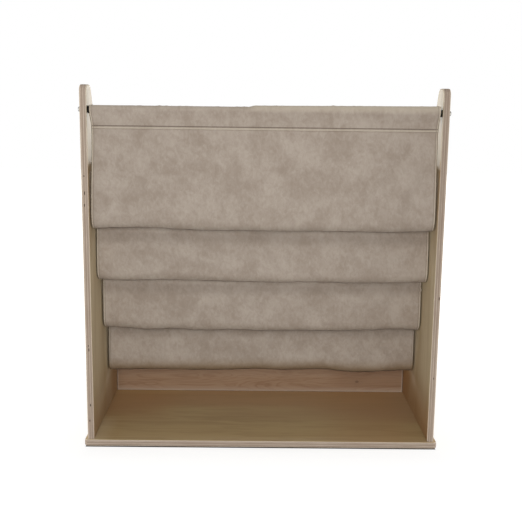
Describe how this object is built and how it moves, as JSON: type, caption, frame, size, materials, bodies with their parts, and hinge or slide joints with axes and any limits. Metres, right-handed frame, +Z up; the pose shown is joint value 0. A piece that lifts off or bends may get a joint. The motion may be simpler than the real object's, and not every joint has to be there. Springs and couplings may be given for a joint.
{
  "type": "sling bookshelf",
  "caption": "Child-height book display with plywood sides and base, cloth pockets hung between black rods at the front, and an open storage floor behind and below.",
  "frame": {"origin": "on the floor, under the middle of the base board", "axes": "+Z up, +Y towards the display side where the books face, +X along the rods to the right seen from the storage side"},
  "size_m": [0.8, 0.36, 0.8071],
  "materials": {
    "birch_plywood": "clear satin lacquer on birch plywood",
    "suede_cloth": "mottled brushed suede cloth",
    "black_rod": "black powder coat",
    "bright_steel": "zinc plated",
    "beech_dowel": "bare beech",
    "glide_felt": "dense grey felt"
  },
  "bodies": {
    "root": {"base_board": "birch_plywood", "toe_rail": "birch_plywood", "rod_1": "black_rod", "rod_2": "black_rod", "rod_3": "black_rod", "rod_4": "black_rod", "rod_5": "black_rod", "sling_1": "suede_cloth", "sling_2": "suede_cloth", "sling_3": "suede_cloth", "sling_4": "suede_cloth", "side_panel_left": "birch_plywood", "rod_insert_1_left": "bright_steel", "rod_bolt_1_left": "bright_steel", "rod_insert_2_left": "bright_steel", "rod_bolt_2_left": "bright_steel", "rod_insert_3_left": "bright_steel", "rod_bolt_3_left": "bright_steel", "rod_insert_4_left": "bright_steel", "rod_bolt_4_left": "bright_steel", "rod_insert_5_left": "bright_steel", "rod_bolt_5_left": "bright_steel", "foot_screw_1_left": "bright_steel", "foot_screw_2_left": "bright_steel", "foot_screw_3_left": "bright_steel", "foot_dowel_1_left": "beech_dowel", "foot_dowel_2_left": "beech_dowel", "rail_dowel_1_left": "beech_dowel", "rail_dowel_2_left": "beech_dowel", "side_panel_right": "birch_plywood", "rod_insert_1_right": "bright_steel", "rod_bolt_1_right": "bright_steel", "rod_insert_2_right": "bright_steel", "rod_bolt_2_right": "bright_steel", "rod_insert_3_right": "bright_steel", "rod_bolt_3_right": "bright_steel", "rod_insert_4_right": "bright_steel", "rod_bolt_4_right": "bright_steel", "rod_insert_5_right": "bright_steel", "rod_bolt_5_right": "bright_steel", "foot_screw_1_right": "bright_steel", "foot_screw_2_right": "bright_steel", "foot_screw_3_right": "bright_steel", "foot_dowel_1_right": "beech_dowel", "foot_dowel_2_right": "beech_dowel", "rail_dowel_1_right": "beech_dowel", "rail_dowel_2_right": "beech_dowel", "rail_screw_1": "bright_steel", "rail_screw_2": "bright_steel", "rail_screw_3": "bright_steel", "rail_screw_4": "bright_steel", "glide_rear_left": "glide_felt", "glide_rear_middle": "glide_felt", "glide_rear_right": "glide_felt", "glide_front_left": "glide_felt", "glide_front_middle": "glide_felt", "glide_front_right": "glide_felt"}
  },
  "joints": []
}
